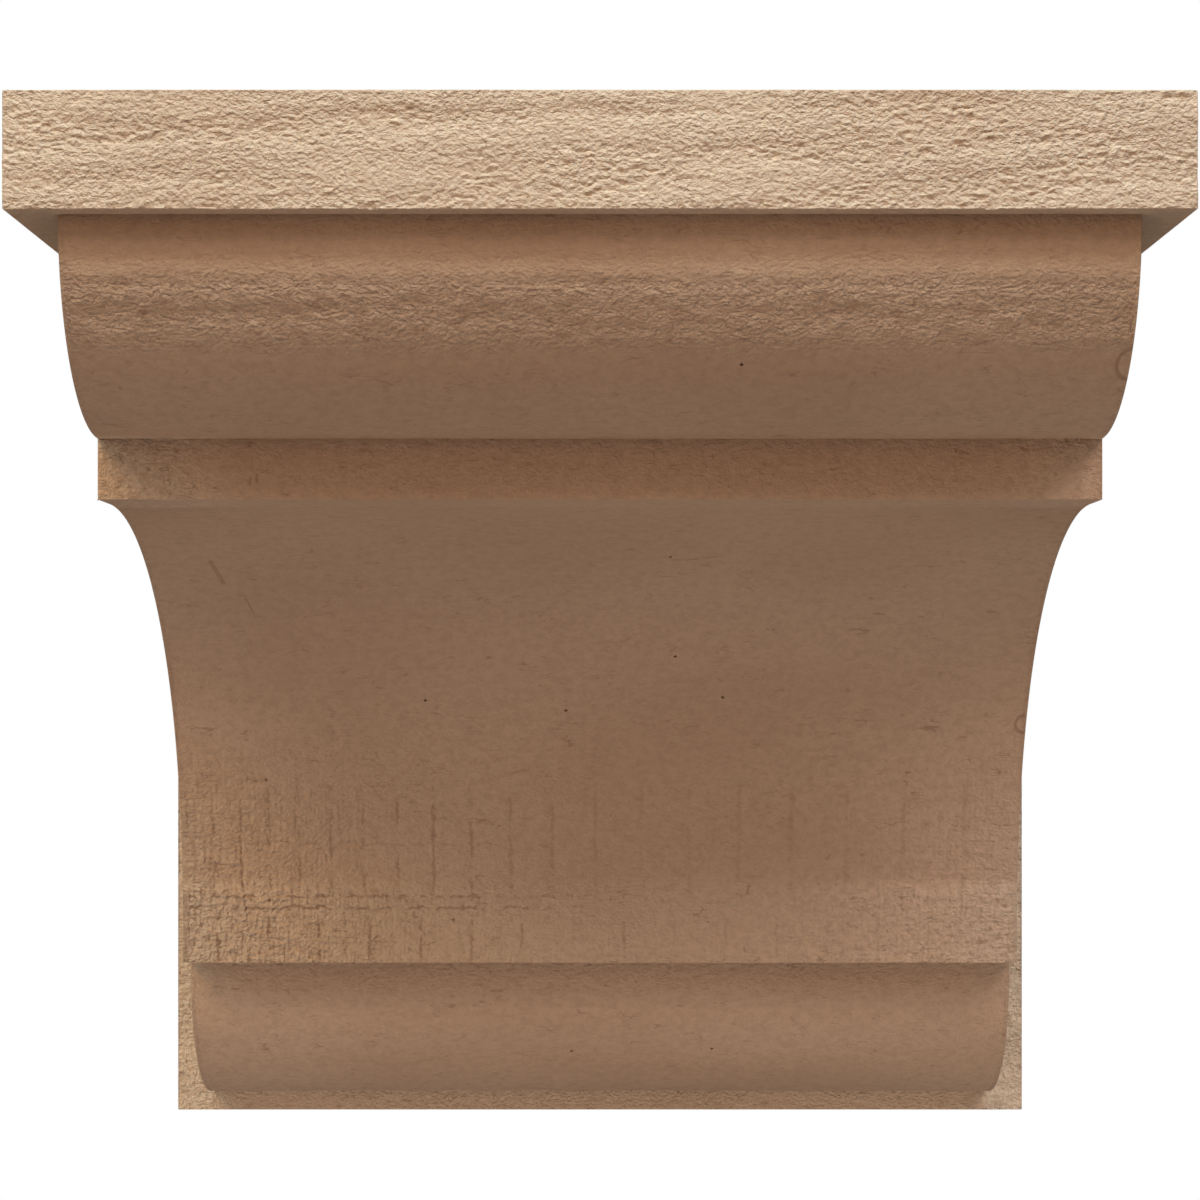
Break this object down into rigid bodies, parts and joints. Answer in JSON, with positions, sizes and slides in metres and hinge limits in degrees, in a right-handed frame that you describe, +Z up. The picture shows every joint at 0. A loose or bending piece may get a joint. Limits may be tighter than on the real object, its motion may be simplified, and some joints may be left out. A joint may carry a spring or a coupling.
{
  "type": "corbel",
  "caption": "Rough-sawn corbel for a wall: a body with quarter-round beads and a deep cove, between a wide cap board and a back board, under one tan coat.",
  "frame": {"origin": "centre of the flat back face that lies against the wall, half way up the corbel and half way across it", "axes": "+Z up, +Y into the wall, so the corbel stands out along -Y, and +X to the right as seen from the front"},
  "size_m": [0.3048, 0.3048, 0.3048],
  "materials": {
    "cap_board": "coarse rough-sawn face under a matt tan primer coat",
    "back_board": "rough-sawn face under a matt tan primer coat",
    "corbel_body": "fine rough-sawn face with saw lines under a matt tan primer coat"
  },
  "bodies": {
    "root": {"cap_board": "cap_board", "back_board": "back_board", "corbel_body": "corbel_body"}
  },
  "joints": []
}
